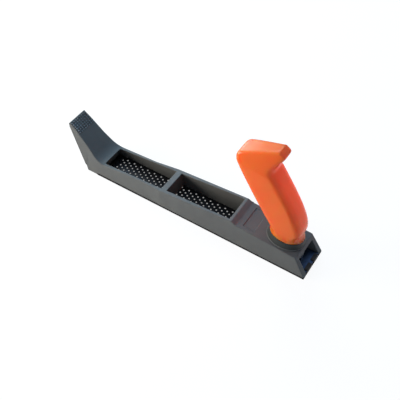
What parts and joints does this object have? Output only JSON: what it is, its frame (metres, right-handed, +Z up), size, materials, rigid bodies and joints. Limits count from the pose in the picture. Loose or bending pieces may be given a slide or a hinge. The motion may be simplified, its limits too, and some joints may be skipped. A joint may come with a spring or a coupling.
{
  "type": "rasp plane",
  "caption": "Rasp plane with a raised toe, two open wells over a punched rasp blade, a leaning pistol handle and a screw-driven blade tensioner in the heel.",
  "frame": {"origin": "bottom centre of the whole tool's box, level with the tooth tips", "axes": "+X from the toe to the heel, +Z up from the sole, Y across the blade"},
  "size_m": [0.3048, 0.042, 0.1424],
  "materials": {
    "body_grey": "satin moulded grey plastic",
    "handle_orange": "glossy orange plastic",
    "blade_black": "blackened hardened steel",
    "zinc_steel": "zinc-plated steel",
    "slide_blue_zinc": "blue passivated zinc-plated steel",
    "insert_brass": "turned brass"
  },
  "bodies": {
    "frame": {"body": "body_grey", "rasp_blade": "blade_black", "handle": "handle_orange", "handle_collar": "body_grey", "handle_insert": "insert_brass", "handle_bolt": "zinc_steel", "bolt_spring_washer": "zinc_steel", "bolt_washer": "zinc_steel", "tension_washer": "zinc_steel"},
    "slide": {"tension_slide": "slide_blue_zinc", "tension_nut": "zinc_steel"},
    "screw": {"tension_screw": "zinc_steel"}
  },
  "joints": [
    {"name": "screw_turn", "type": "hinge", "parent": "frame", "child": "screw", "pos_m": [0.136, 0, 0.0086], "axis": [1, 0, 0], "range_deg": [0, 2026]},
    {"name": "slide_travel", "type": "slide", "parent": "frame", "child": "slide", "axis": [1, 0, 0], "range_m": [-0.0045, 0]}
  ],
  "couplings": [
    {"joint": "screw_turn", "follows": "slide_travel", "rad_per_m": -7854}
  ]
}
